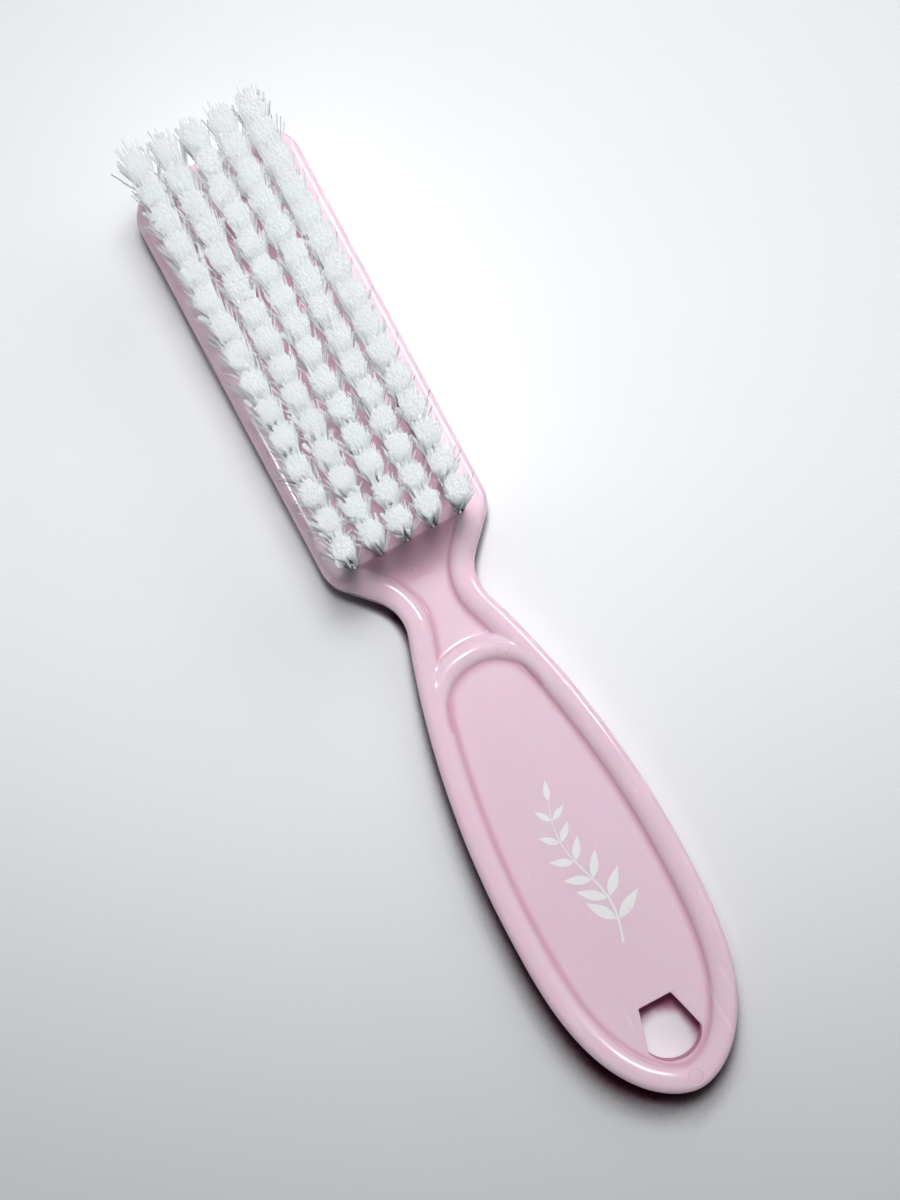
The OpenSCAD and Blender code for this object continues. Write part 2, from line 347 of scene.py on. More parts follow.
# Painted shade: some bent threads beside the gaps are painted grey, as threads that stand in shadow
tint = blend_colour(tree, stored(tree, SHADED_THREAD) * SHADED_THREAD_SHARE, tint, NYLON_SHADED)
to_a_lamp = use(tree, "ShaderNodeLightPath", output="Is Shadow Ray")
fill_in(tree, shader, {
    "Base Color": blend_colour(tree, clear, NYLON_FOOT_SHADE, tint),
    "Roughness": uneven * 0.12 + 0.3,
    "Normal": bump(tree, uneven, 0.4),
    "Specular IOR Level": 0.3,
    "Alpha": to_a_lamp * clear * -LET_THROUGH + 1.0})
print("material:", white_nylon.name)

# %% [markdown]
# ## Brushed steel and white print
# The anchors are bits of flat wire, with the fine lines that drawing leaves along them. The ornament on
# the handle is a thin, slightly matt ink that a soft pad has pressed on: it is a little uneven, and the
# plastic shows through where the ink is thinnest.

# %% Material: brushed steel
STEEL = (0.62, 0.61, 0.60, 1.0)
STEEL_DARK = (0.48, 0.47, 0.46, 1.0)

brushed_steel, tree, shader, place = new_material("brushed_steel")
drawn = use_group(tree, scuffs, {"Vector": place, "Along": (9000.0, 900.0, 9000.0), "Rarity": 0.5})
worn = use_group(tree, mottle, {"Vector": place, "Scale": 2500.0})
fill_in(tree, shader, {
    "Base Color": blend_colour(tree, worn, STEEL_DARK, STEEL),
    "Roughness": worn * 0.15 + drawn * 0.15 + 0.28,
    "Normal": bump(tree, drawn, 0.5),
    "Metallic": 1.0})

# %% Material: white ink
INK = (0.90, 0.88, 0.89, 1.0)
INK_THIN = (0.88, 0.76, 0.80, 1.0)

white_ink, tree, shader, place = new_material("white_ink")
cover = use_group(tree, mottle, {"Vector": place, "Scale": 1500.0})
shows_through = cover.math("LESS_THAN", 0.12) * 0.6
fill_in(tree, shader, {
    "Base Color": blend_colour(tree, shows_through, INK, INK_THIN),
    "Roughness": cover * 0.1 + 0.42,
    "Normal": bump(tree, cover, 0.6)})
print("materials:", brushed_steel.name, white_ink.name)

# %% [markdown]
# ## The outline of the body
# Seen from above, the body is a run of curves that meet without a kink: a superellipse for the tail, one
# long arc for the side of the handle, a small hollow arc at the neck, a straight shoulder, a bend, the
# straight side of the head and a rounded corner. The mesh gets a station at each point of that outline,
# with the direction that points outwards there. Stations are close where the shape turns or slopes.

# %% Sizes of the body
HEAD_W, HEAD_T, HEAD_CORNER_R = 0.0306, 0.0080, 0.0060
SHOULDER_R, SHOULDER_TURN = 0.0054, 43.5
NECK_W, NECK_R = 0.0145, 0.0078
HANDLE_W, HANDLE_T = 0.0324, 0.0065
GRIP_FRONT, GRIP_BACK = 0.0535, 0.0366
FAR_Y, SHOULDER_Y, NECK_Y, WIDE_Y = 0.088075, 0.015775, 0.002025, -0.051475
TAIL_Y = WIDE_Y - GRIP_BACK
FACE_END_Y = 0.013475
TAIL_ALONG, TAIL_ACROSS = 2.87, 1.8

flare = 2 * math.degrees(math.atan((HANDLE_W - NECK_W) / 2 / GRIP_FRONT))
SIDE_R = GRIP_FRONT / math.sin(math.radians(flare)) - NECK_R
print("side of the handle: an arc of", round(SIDE_R * 1000, 1), "mm over", round(flare, 1), "degrees")


# %% Curves of the outline
def arc(centre, radius, start, end, count, hollow=False):
    """Points of an arc with the direction that is outwards there."""
    turn = np.radians(np.linspace(start, end, count))
    way = np.stack([np.cos(turn), np.sin(turn)], 1)
    return np.array(centre) + radius * way, -way if hollow else way


def tail(count):
    """The superellipse from the tip of the tail to the widest place, with even steps."""
    s = np.linspace(1, 0, 6001)
    w = 1 - (1 - s) ** TAIL_ACROSS
    x = HANDLE_W / 2 * (1 - w**TAIL_ALONG) ** (1 / TAIL_ACROSS)
    dense = np.stack([x, WIDE_Y - GRIP_BACK * w], 1)
    way = np.gradient(dense, axis=0)
    out_way = np.stack([way[:, 1], -way[:, 0]], 1)
    out_way /= np.linalg.norm(out_way, axis=1)[:, None]
    out_way[0], out_way[-1] = (0, -1), (1, 0)
    run = np.concatenate([[0], np.cumsum(np.linalg.norm(np.diff(dense, axis=0), axis=1))])
    steps = np.linspace(0, run[-1], count)
    points = np.stack([np.interp(steps, run, dense[:, k]) for k in (0, 1)], 1)
    ways = np.stack([np.interp(steps, run, out_way[:, k]) for k in (0, 1)], 1)
    return points, ways / np.linalg.norm(ways, axis=1)[:, None]


def straight(first, last, way, count):
    first, last = np.array(first), np.array(last)
    points = first + np.linspace(0, 1, count)[:, None] * (last - first)
    return points, np.tile(way, (count, 1))


# %% The right half of the outline
ARCH_SIDE_Y = -0.019
side_turn_at_arch = math.degrees(math.asin((ARCH_SIDE_Y - WIDE_Y) / SIDE_R))
side_centre = (HANDLE_W / 2 - SIDE_R, WIDE_Y)
neck_centre = (NECK_W / 2 + NECK_R, NECK_Y)
bend_centre = (HEAD_W / 2 - SHOULDER_R, SHOULDER_Y)
waist = arc(neck_centre, NECK_R, 180 + flare, 180 - SHOULDER_TURN, 25, hollow=True)
bend = arc(bend_centre, SHOULDER_R, -SHOULDER_TURN, 0, 15)
shoulder_way = (math.cos(math.radians(SHOULDER_TURN)), -math.sin(math.radians(SHOULDER_TURN)))
corner_y = FAR_Y - HEAD_CORNER_R
corner_x = HEAD_W / 2 - HEAD_CORNER_R
runs = [
    tail(64),
    arc(side_centre, SIDE_R, 0, side_turn_at_arch, 42),
    arc(side_centre, SIDE_R, side_turn_at_arch, flare, 58),
    waist,
    straight(waist[0][-1], bend[0][0], shoulder_way, 41),
    bend,
    straight((HEAD_W / 2, SHOULDER_Y), (HEAD_W / 2, corner_y), (1, 0), 56),
    arc((corner_x, corner_y), HEAD_CORNER_R, 0, 90, 19),
    straight((corner_x, FAR_Y), (0, FAR_Y), (0, 1), 10),
]
half = np.concatenate([runs[0][0]] + [points[1:] for points, _ in runs[1:]])
ways = np.concatenate([runs[0][1]] + [way[1:] for _, way in runs[1:]])
half[0, 0] = half[-1, 0] = 0.0
STATIONS = len(half)
AROUND = 2 * (STATIONS - 1)
print("stations on the right half:", STATIONS)

# %% [markdown]
# ## The height of the surface
# A raised rim runs round the handle, and a recessed panel lies inside it. The rim is a bead: a tightly
# rounded outer edge, a wide round back, and a small hollow fillet at its foot. At the head the rim fades,
# because the ground between the rims climbs a hollow ramp to the flat tuft face. Where the ramp meets that
# face, four short, faint lips of plastic stand up. An arch-shaped bead crosses the handle just behind the
# neck and melts into the rims. All of it is one rule, the height at a point, so the mesh only has to ask.

# %% Sizes of rim, ramp and arch
EDGE_R = 0.0014
RIM_CREST, RIM_FOOT = 0.0019, 0.0046
RIM_RISE = 0.0014
BACK_RISE = 0.0010
FILLET_R = 0.00035
RAMP_L, CREST_L = 0.0060, 0.0080
RAMP_EDGE = 0.00035
LIP_W, LIP_L, LIP_RISE = 0.00018, 0.0013, 0.00003
LIPS_AT = (-0.0118, -0.0027, 0.0062, 0.0122)
ARCH_R, ARCH_Y, ARCH_HALF_W, ARCH_RISE = 0.0106, -0.018175, 0.0024, 0.0013
MELT = 0.0006
PANEL_Z = HANDLE_T - RIM_RISE


# %% Heights
def ease(t):
    t = np.clip(t, 0, 1)
    return t * t * (3 - 2 * t)


def crest_height(y):
    return HEAD_T - (HEAD_T - HANDLE_T) * ease((FACE_END_Y - y) / CREST_L)


def ground_height(y, x=0.0):
    """The tuft face, the hollow ramp and the panel, with the lips where the ramp starts."""
    t = np.clip((FACE_END_Y - y) / RAMP_L, -1, 1)
    ramp = HEAD_T - (HEAD_T - PANEL_Z) * (1 - (1 - t) ** 2)
    near = np.clip(1 - np.abs(HEAD_T - ramp) / RAMP_EDGE, 0, 1)
    lip = LIP_RISE * np.exp(-(((y - FACE_END_Y) / LIP_W - 1) ** 2))
    lip = lip * sum(np.exp(-(((x - at) / LIP_L) ** 2)) for at in LIPS_AT)
    return np.minimum(HEAD_T, ramp) - near**2 * RAMP_EDGE / 4 + lip


def bead(away, width, rise):
    """Height of a bead at a distance from its crest: a round back that meets a hollow foot."""
    rise = np.maximum(rise, 1e-7)
    lean = 2 * np.arctan2(rise, width)
    reach = width / np.sin(lean)
    back_r = reach - FILLET_R
    away = np.clip(away, 0, width)
    back = rise - back_r + np.sqrt(np.maximum(back_r**2 - away**2, 0))
    foot = FILLET_R - np.sqrt(np.maximum(FILLET_R**2 - (width - away) ** 2, 0))
    return np.where(away < back_r * np.sin(lean), back, foot)


def rim_height(rise, inset):
    return np.where(inset < RIM_CREST, rise, bead(inset - RIM_CREST, RIM_FOOT - RIM_CREST, rise))


def arch_height(x, y):
    """The arched bead: its crest is the upper half of a circle."""
    from_circle = np.abs(np.hypot(x, y - ARCH_Y) - ARCH_R)
    from_ends = np.hypot(np.abs(x) - ARCH_R, y - ARCH_Y)
    return bead(np.where(y > ARCH_Y, from_circle, from_ends), ARCH_HALF_W, ARCH_RISE)


def front_height(x, y, inset):
    """Height of the front at a point that lies that far inside the outline."""
    ground = ground_height(y, x)
    rise = crest_height(y) - ground
    rim, arch = rim_height(rise, inset), arch_height(x, y)
    near = np.clip(1 - np.abs(rim - arch) / MELT, 0, 1) * np.clip(np.minimum(rim, arch) / MELT, 0, 1)
    room = np.clip((rise - np.maximum(rim, arch)) / MELT, 0, 1)
    return ground + np.maximum(rim, arch) + near**2 * room * MELT / 4


def back_height(x, y, inset):
    rise = BACK_RISE * ease((FACE_END_Y - y) / CREST_L)
    return rise - rim_height(rise, inset)


for y in (0.05, FACE_END_Y, 0.010, 0.0, -0.05):
    print("at y", y, "crest", round(float(crest_height(y)), 5), "ground", round(float(ground_height(y)), 5))

# %% [markdown]
# ## The mesh of the body
# Rings of points, all with one point per station, wrap the body from the foot of the back rim, round both
# edges, to the foot of the front rim. The rings crowd together where the section turns. A fine ridge half
# way up the side is the line where the two halves of the mould met. The two openings that are left, the
# front panel and the back panel, are filled with a Delaunay net of triangles. It takes any points inside
# it, so the points can lie in arcs on the arch and in rows on the ramp, and stay sparse on the flats.

# %% Rings of the body
PARTING_Z, PARTING_HALF, PARTING_OUT = 0.0031, 0.00010, 0.00003
slope_insets = RIM_CREST + (RIM_FOOT - RIM_CREST) * np.array(
    [0.12, 0.24, 0.36, 0.47, 0.57, 0.66, 0.74, 0.805, 0.86, 0.895, 0.93, 0.965, 1.0])
edge_turns = np.radians(np.linspace(0, 90, 9))


def ring(insets, heights):
    """One closed ring: the right half of the stations, then the left half back again."""
    flat = half - np.atleast_1d(insets)[:, None] * ways
    right = np.column_stack([flat, heights(flat)])
    left = right[-2:0:-1] * (-1, 1, 1)
    return np.concatenate([right, left])


def inset_ring(inset, height_rule):
    return ring(inset, lambda p: height_rule(p[:, 0], p[:, 1], inset))


rings = [inset_ring(d, back_height) for d in slope_insets[::-1]]
rings.append(inset_ring(RIM_CREST, back_height))
for a in edge_turns[::-1]:
    rings.append(ring(EDGE_R * (1 - np.sin(a)), lambda p, a=a: np.full(len(p), EDGE_R * (1 - np.cos(a)))))
# The outer pair of these rings keeps the shading of the side flat right up to the ridge
for share, d in ((-3, 0), (-1, 0), (-1 / 3, -PARTING_OUT), (1 / 3, -PARTING_OUT), (1, 0), (3, 0)):
    z = PARTING_Z + share * PARTING_HALF
    rings.append(ring(d, lambda p, z=z: np.full(len(p), z)))
for a in edge_turns:
    rings.append(ring(EDGE_R * (1 - np.cos(a)),
                      lambda p, a=a: crest_height(p[:, 1]) - EDGE_R * (1 - np.sin(a))))
rings.append(inset_ring(RIM_CREST, front_height))
rings += [inset_ring(d, front_height) for d in slope_insets]
print("rings:", len(rings), "of", len(rings[0]), "points")


# %% Points inside the two openings
def inside(points, edge, margin):
    """Keeps the points that lie inside the right half of a ring by some margin."""
    x, y = np.abs(points[:, 0]), points[:, 1]
    half_width = np.interp(y, edge[:, 1], edge[:, 0])
    return points[(x < half_width - margin) & (y > edge[0, 1] + margin) & (y < edge[-1, 1] - margin)]


def grid(x_step, ys):
    xs = np.arange(-HANDLE_W / 2, HANDLE_W / 2, x_step) + x_step / 2
    return np.stack(np.meshgrid(xs, ys), -1).reshape(-1, 2)


ARCH_ZONE = (-0.0215, -0.0045)
LOW_END_Y, HIGH_END_Y, PAST_RAMP_Y = -0.086, 0.086, 0.016
arch_offsets = np.linspace(-0.0026, 0.0026, 27)
arch_turns = np.radians(np.linspace(-8, 188, 110))
arch_points = np.array([[(ARCH_R + e) * math.cos(a), ARCH_Y + (ARCH_R + e) * math.sin(a)]
                        for e in arch_offsets for a in arch_turns])
ramp_rows = np.concatenate([np.arange(0.0065, 0.0128, 0.0004), np.arange(0.0130, 0.0141, 0.0001)])
head_rows = np.arange(PAST_RAMP_Y, HIGH_END_Y, 0.002)
flat_rows = np.concatenate([np.arange(LOW_END_Y, ARCH_ZONE[0], 0.002),
                            np.arange(ARCH_ZONE[1], 0.0062, 0.0012), head_rows])
front_inner = np.concatenate([arch_points, grid(0.0008, ramp_rows), grid(0.0016, flat_rows)])
back_inner = np.concatenate([grid(0.0012, np.arange(0.0046, 0.0142, 0.0005)),
                             grid(0.0020, np.arange(LOW_END_Y, 0.004, 0.002)), grid(0.0020, head_rows)])


# %% Fill an opening
TO_UNITS = 1000.0
FILL_MARGIN = 0.00018


def fill(edge_ring, first_index, inner, height_rule, start):
    """Triangles over a ring's opening. Returns the new points and the faces that use them."""
    inner = inside(inner, edge_ring[:STATIONS], FILL_MARGIN)
    flat = np.concatenate([edge_ring[:, :2], inner]) * TO_UNITS
    loop = list(range(AROUND))
    verts, _, faces, origin, _, _ = delaunay_2d_cdt(
        [Vector(p) for p in flat.tolist()], [], [loop], 1, 1e-5)
    index, points = {}, []
    for k, (vert, sources) in enumerate(zip(verts, origin)):
        known = [s for s in sources if s < AROUND]
        if known:
            index[k] = first_index + known[0]
            continue
        x, y = vert.x / TO_UNITS, vert.y / TO_UNITS
        index[k] = start + len(points)
        points.append((x, y, float(height_rule(x, y, RIM_FOOT))))
    return points, [[index[k] for k in face] for face in faces]


def walls(rows, count):
    """Four-sided faces between rows of points that follow one another."""
    faces = []
    for k in range(rows - 1):
        low, high = k * count, (k + 1) * count
        for j in range(count):
            n = (j + 1) % count
            faces.append((low + j, low + n, high + n, high + j))
    return faces


points = [tuple(p) for r in rings for p in r]
faces = walls(len(rings), AROUND)
top_points, top_faces = fill(rings[-1], (len(rings) - 1) * AROUND, front_inner, front_height, len(points))
points += top_points
back_points, back_faces = fill(rings[0], 0, back_inner, back_height, len(points))
points += back_points
print("net of the front:", len(top_faces), "faces; of the back:", len(back_faces))


# %% Make the body's mesh
def facing_up(face):
    a, b, c = (np.array(points[k][:2]) for k in face[:3])
    return (b[0] - a[0]) * (c[1] - a[1]) - (b[1] - a[1]) * (c[0] - a[0]) > 0


faces += [f if facing_up(f) else f[::-1] for f in top_faces]
faces += [f[::-1] if facing_up(f) else f for f in back_faces]


def show(name, mesh):
    """An object of that name, at the origin."""
    thing = bpy.data.objects.new(name, mesh)
    bpy.context.scene.collection.objects.link(thing)
    return thing


def new_object(name, points, faces, material=None):
    mesh = bpy.data.meshes.new(name)
    mesh.from_pydata([tuple(p) for p in points], [], [tuple(f) for f in faces])
    mesh.validate()
    if material:
        mesh.materials.append(material)
    return show(name, mesh)


def evaluated(thing):
    """A plain mesh of what an object's modifiers make."""
    bpy.context.view_layer.update()
    graph = bpy.context.evaluated_depsgraph_get()
    return bpy.data.meshes.new_from_object(thing.evaluated_get(graph))


moulding = new_object("moulding", points, faces, pink_plastic)
print("moulding before cutting:", len(moulding.data.polygons), "faces")

# %% [markdown]
# ## Holes and marks
# The mould and the drill leave shapes that are cut out of the solid: the keystone hang hole, 75 blind tuft
# holes, and two fine ring lines. One ring lies where the plastic was fed in, and the other where a pin
# pushed the brush out of the mould. The cutter of a hole flares a little at the surface, so the hole gets
# the small broken edge that catches light. The cutter of a ring is a V-shaped band that follows the
# surface. Geometry Nodes put one drill at every point of a grid, which is how the head is drilled.

# %% Sizes of holes and marks
TUFT_ROWS, TUFT_COLUMNS = 15, 5
ROW_PITCH, COLUMN_PITCH = 0.00505, 0.0050
FAR_ROW_Y = 0.085175
NEAR_ROW_Y = FAR_ROW_Y - (TUFT_ROWS - 1) * ROW_PITCH
TUFT_HOLE_R, TUFT_HOLE_DEPTH = 0.0009, 0.0050
BREAK, OVERRUN = 0.00012, 0.001
HANG_NECK, HANG_WIDE = 0.0060, 0.0099
HANG_NECK_Y, HANG_WIDE_Y, HANG_END_Y = -0.072175, -0.079275, -0.082575
HANG_CORNER_R = 0.0003
GATE_AT, GATE_R = (0.0, TAIL_Y + 0.0022), 0.00115
PIN_AT, PIN_R = (0.0052, -0.0098), 0.0009
MARK_LINE, MARK_DEPTH = 0.00026, 0.00012


# %% Helpers for cutters
def loft(name, sections, closed_ends=True):
    """A solid through sections, each a ring of points with as many points as the last."""
    count = len(sections[0])
    last = (len(sections) - 1) * count
    points = [p for section in sections for p in section]
    faces = walls(len(sections), count)
    if closed_ends:
        faces += [list(range(count))[::-1], [last + j for j in range(count)]]
    else:
        faces += [(last + j, last + (j + 1) % count, (j + 1) % count, j) for j in range(count)]
    return new_object(name, points, faces)


def circle(radius, z, sides, centre=(0, 0)):
    return [(centre[0] + radius * math.cos(2 * math.pi * k / sides),
             centre[1] + radius * math.sin(2 * math.pi * k / sides), z) for k in range(sides)]


# %% One drill, and the grid of them
drill = loft("drill", [
    circle(TUFT_HOLE_R, HEAD_T - TUFT_HOLE_DEPTH, 24),
    circle(TUFT_HOLE_R, HEAD_T - BREAK, 24),
    circle(TUFT_HOLE_R + BREAK, HEAD_T + BREAK / 10, 24),
    circle(TUFT_HOLE_R + BREAK, HEAD_T + OVERRUN, 24)])

drilling, given, result = new_tree(
    "drilling", "GeometryNodeTree",
    [("Geometry", "Geometry", None), ("Drill", "Object", None), ("Rows", "Int", 2), ("Columns", "Int", 2),
     ("Row Pitch", "Float", 0.005), ("Column Pitch", "Float", 0.005), ("Middle", "Float", 0.0)],
    [("Geometry", "Geometry")])
places = use(drilling, "GeometryNodeMeshGrid", {
    "Size X": (given["Columns"] - 1) * given["Column Pitch"],
    "Size Y": (given["Rows"] - 1) * given["Row Pitch"],
    "Vertices X": given["Columns"], "Vertices Y": given["Rows"]}, "Mesh")
moved = use(drilling, "GeometryNodeTransform", {
    "Geometry": places, "Translation": vector(drilling, 0.0, given["Middle"], 0.0)})
tool = use(drilling, "GeometryNodeObjectInfo", {"Object": given["Drill"]}, "Geometry",
           transform_space="ORIGINAL")
drills = use(drilling, "GeometryNodeInstanceOnPoints", {"Points": moved, "Instance": tool})
solid = use(drilling, "GeometryNodeRealizeInstances", {"Geometry": drills})
plug(drilling, solid, result.inputs["Geometry"])


# %% Run a node tree on an empty mesh
def grow(name, group, values):
    """Makes a plain mesh with a Geometry Nodes tree. The inputs are set before anything is evaluated."""
    carrier = new_object(name + "_carrier", [], [])
    modifier = carrier.modifiers.new(group.name, "NODES")
    modifier.node_group = group
    sockets = {s.name: s.identifier for s in group.interface.items_tree
               if s.item_type == "SOCKET" and s.in_out == "INPUT"}
    for label, value in values.items():
        modifier[sockets[label]] = value
    mesh = evaluated(carrier)
    bpy.data.objects.remove(carrier)
    mesh.name = name
    return show(name, mesh)


drills = grow("tuft_drills", drilling, {
    "Drill": drill, "Rows": TUFT_ROWS, "Columns": TUFT_COLUMNS, "Row Pitch": ROW_PITCH,
    "Column Pitch": COLUMN_PITCH, "Middle": (FAR_ROW_Y + NEAR_ROW_Y) / 2})
print("drills:", len(drills.data.polygons), "faces")


# %% The keystone hole
def rounded(corners, radius, steps=4):
    """A convex outline, anticlockwise, with its corners rounded where the radius isn't zero."""
    points = []
    for k, (corner, r) in enumerate(zip(corners, radius)):
        here = Vector(corner)
        back = (Vector(corners[k - 1]) - here).normalized()
        on = (Vector(corners[(k + 1) % len(corners)]) - here).normalized()
        if r == 0:
            points.append(here)
            continue
        half_turn = back.angle(on) / 2
        middle = here + (back + on).normalized() * (r / math.sin(half_turn))
        first = here + back * (r / math.tan(half_turn)) - middle
        last = here + on * (r / math.tan(half_turn)) - middle
        for s in range(steps + 1):
            points.append(middle + first.lerp(last, s / steps).normalized() * r)
    return points


round_l = HANG_WIDE_Y - HANG_END_Y
round_r = ((HANG_WIDE / 2) ** 2 + round_l**2) / (2 * round_l)
round_half = math.asin(HANG_WIDE / 2 / round_r)
round_turns = np.linspace(-math.pi / 2 - round_half, -math.pi / 2 + round_half, 25)
round_end = [(round_r * math.cos(a), HANG_END_Y + round_r + round_r * math.sin(a)) for a in round_turns]
corners = round_end + [(HANG_NECK / 2, HANG_NECK_Y), (-HANG_NECK / 2, HANG_NECK_Y)]
radii = [HANG_CORNER_R] + [0] * 23 + [HANG_CORNER_R] * 3
keystone = rounded(corners, radii)


def grown(outline, by):
    """The outline moved outwards."""
    result = []
    for k, here in enumerate(outline):
        way = outline[(k + 1) % len(outline)] - outline[k - 1]
        result.append(here + Vector((way.y, -way.x)).normalized() * by)
    return result


def hang_sections():
    turns = [math.radians(a) for a in (0, 30, 60, 90)]
    low = [(BACK_RISE + BREAK * (1 - math.cos(a)), BREAK * (1 - math.sin(a))) for a in turns]
    high = [(PANEL_Z - BREAK * (1 - math.cos(a)), BREAK * (1 - math.sin(a))) for a in turns[::-1]]
    for z, by in [(-OVERRUN, BREAK), *low, *high, (HANDLE_T + OVERRUN, BREAK)]:
        yield [(p.x, p.y, z) for p in grown(keystone, by)]


hang_cutter = loft("hang_cutter", list(hang_sections()))


# %% The rings that the gate and the ejector pin left
def inset_at(x, y):
    """How far inside the outline a point lies."""
    starts, steps = half[:-1], np.diff(half, axis=0)
    here = np.array([abs(x), y])
    along = np.clip(np.sum((here - starts) * steps, axis=1) / np.sum(steps**2, axis=1), 0, 1)
    return float(np.linalg.norm(starts + along[:, None] * steps - here, axis=1).min())


def surface_height(x, y):
    """Height of the front anywhere on it, its rounded outer edge included."""
    inset = inset_at(x, y)
    rounding = EDGE_R - math.sqrt(EDGE_R**2 - max(EDGE_R - inset, 0) ** 2)
    return float(front_height(x, y, inset)) - rounding


def ring_groove(name, middle, radius):
    """A cutter for a fine round line that follows the surface."""
    def turn_line(r, lift):
        return [(x, y, surface_height(x, y) + lift) for x, y, _ in circle(r, 0, 48, middle)]
    return loft(name, [turn_line(radius, -MARK_DEPTH), turn_line(radius + MARK_LINE, MARK_DEPTH),
                       turn_line(radius - MARK_LINE, MARK_DEPTH)], closed_ends=False)


gate_cutter = ring_groove("gate_cutter", GATE_AT, GATE_R)
pin_cutter = ring_groove("pin_cutter", PIN_AT, PIN_R)


# %% Cut the moulding
def join(name, parts):
    """One mesh of several."""
    points, faces = [], []
    for part in parts:
        start = len(points)
        points += [tuple(v.co) for v in part.data.vertices]
        faces += [[start + k for k in p.vertices] for p in part.data.polygons]
        bpy.data.objects.remove(part)
    return new_object(name, points, faces)


cutters = join("cutters", [drills, hang_cutter, gate_cutter, pin_cutter])
cut = moulding.modifiers.new("cut", "BOOLEAN")
cut.operation, cut.solver, cut.object = "DIFFERENCE", "MANIFOLD", cutters
mesh = evaluated(moulding)
for thing in (moulding, cutters, drill):
    bpy.data.objects.remove(thing)
SHARP_TURN = math.radians(38)
mesh.shade_smooth()
mesh.set_sharp_from_angle(angle=SHARP_TURN)


# %% What each point carries, and the finished body
def fold_distance(x, y, inset):
    """How far a point is from the foot of the rim or from the inner foot of the arch."""
    off_crest = math.hypot(x, y - ARCH_Y) - ARCH_R if y > ARCH_Y else 1.0
    on_arch = max(ARCH_HALF_W - abs(off_crest), 0)
    from_rim = abs(inset - RIM_FOOT) + on_arch if y < FACE_END_Y else 1.0
    return min(from_rim, abs(off_crest + ARCH_HALF_W))


insets = [inset_at(v.co.x, v.co.y) for v in mesh.vertices]
folds = [fold_distance(v.co.x, v.co.y, inset) for v, inset in zip(mesh.vertices, insets)]
for name, values in ((INSET, insets), (FOLD, folds)):
    mesh.attributes.new(name, "FLOAT", "POINT")
    mesh.attributes[name].data.foreach_set("value", values)
body = show("handle_body", mesh)
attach(body, "root")
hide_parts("body")
print("body:", len(mesh.polygons), "faces,", len(mesh.vertices), "points")

# %% [markdown]
# ## The bristles
# A tuft is a bundle of threads folded in half over its anchor and pushed into a hole, so both ends of each
# thread stand up. At the hole the bundle is as narrow as the drill and split by the anchor, and from there
# it spreads like a fan. Away from the handle the tufts spread further along the brush, and run together.
# The ends were trimmed to nearly one height, and use has bent some outer threads, furthest on the left.
# Geometry Nodes suit this: one curve per end, placed by a rule with a little chance in it, then swept with
# a five-sided section. Nobody sees the inside of a tuft, so thicker strands that end a little lower fill
# it. Each row is one piece with its own seed.

# %% Sizes of the bristles
THREADS, STRANDS = 56, 34
THREAD_R, STRAND_R = 0.000105, 0.00036
STRAND_DROP, TRIM_DROP, BENT_DROP = 0.0003, 0.0009, 0.0006
BRISTLE_H = 0.0220
FOLD_DEPTH = 0.0049
ROOT_R, TIP_R = 0.00078, 0.00235
SLIT, FRAY = 0.0008, 0.0020
OUTER_FROM, UNBENT = 0.72, 0.55
LEAN_X, LEAN_Y, STRAY = 0.00025, 0.0002, 0.00015
GOLDEN = math.pi * (3 - math.sqrt(5))

# %% Tree: a row of tufts
tufting, given, result = new_tree(
    "tufting", "GeometryNodeTree",
    [("Geometry", "Geometry", None), ("Tufts", "Int", TUFT_COLUMNS), ("Threads", "Int", THREADS),
     ("Strands", "Int", STRANDS), ("Column Pitch", "Float", COLUMN_PITCH), ("Row Place", "Float", 0.0),
     ("Face Height", "Float", HEAD_T), ("Bristle Height", "Float", BRISTLE_H),
     ("Fold Depth", "Float", FOLD_DEPTH), ("Root Radius", "Float", ROOT_R), ("Tip Radius", "Float", TIP_R),
     ("Slit", "Float", SLIT), ("Thread Radius", "Float", THREAD_R), ("Strand Radius", "Float", STRAND_R),
     ("Strand Drop", "Float", STRAND_DROP), ("Lean Along", "Float", 0.0), ("Lean Outwards", "Float", 0.0),
     ("Stretch", "Float", 1.0), ("Fray", "Float", FRAY), ("Seed", "Int", 1), ("Material", "Material", None)],
    [("Geometry", "Geometry")])


def chance(low, high, salt, per=None):
    """A random number for each point, or for each value of per."""
    inputs = {"Min": low, "Max": high, "Seed": given["Seed"] * 31 + salt}
    if per is not None:
        inputs["ID"] = per
    return use(tufting, "FunctionNodeRandomValue", inputs, "Value", data_type="FLOAT")


# Which tuft an end belongs to, and where in the bundle it lies. The first ends of a tuft are the strands
ends = given["Threads"] * 2 + given["Strands"]
number = use(tufting, "GeometryNodeInputIndex")
tuft = (number / ends).math("FLOOR")
end = number - tuft * ends
strand = end.math("LESS_THAN", given["Strands"] - 0.5)
thread = strand * -1.0 + 1.0
alike = strand * given["Strands"] + thread * given["Threads"] * 2
place_in = end - thread * given["Strands"]
reach = ((place_in + 0.5) / alike).math("SQRT") * (strand * -0.2 + 1.0)
turn = place_in * GOLDEN + tuft
u = turn.math("COSINE") * reach
v = turn.math("SINE") * reach
side = u.math("SIGN")

# The root of each end, on its own side of the slit
middle = (tuft - (given["Tufts"] - 1) * 0.5) * given["Column Pitch"]
root_x = middle + side * (given["Slit"] * 0.5) + u * (given["Root Radius"] - given["Slit"] * 0.5)
root_y = given["Row Place"] + v * given["Root Radius"]

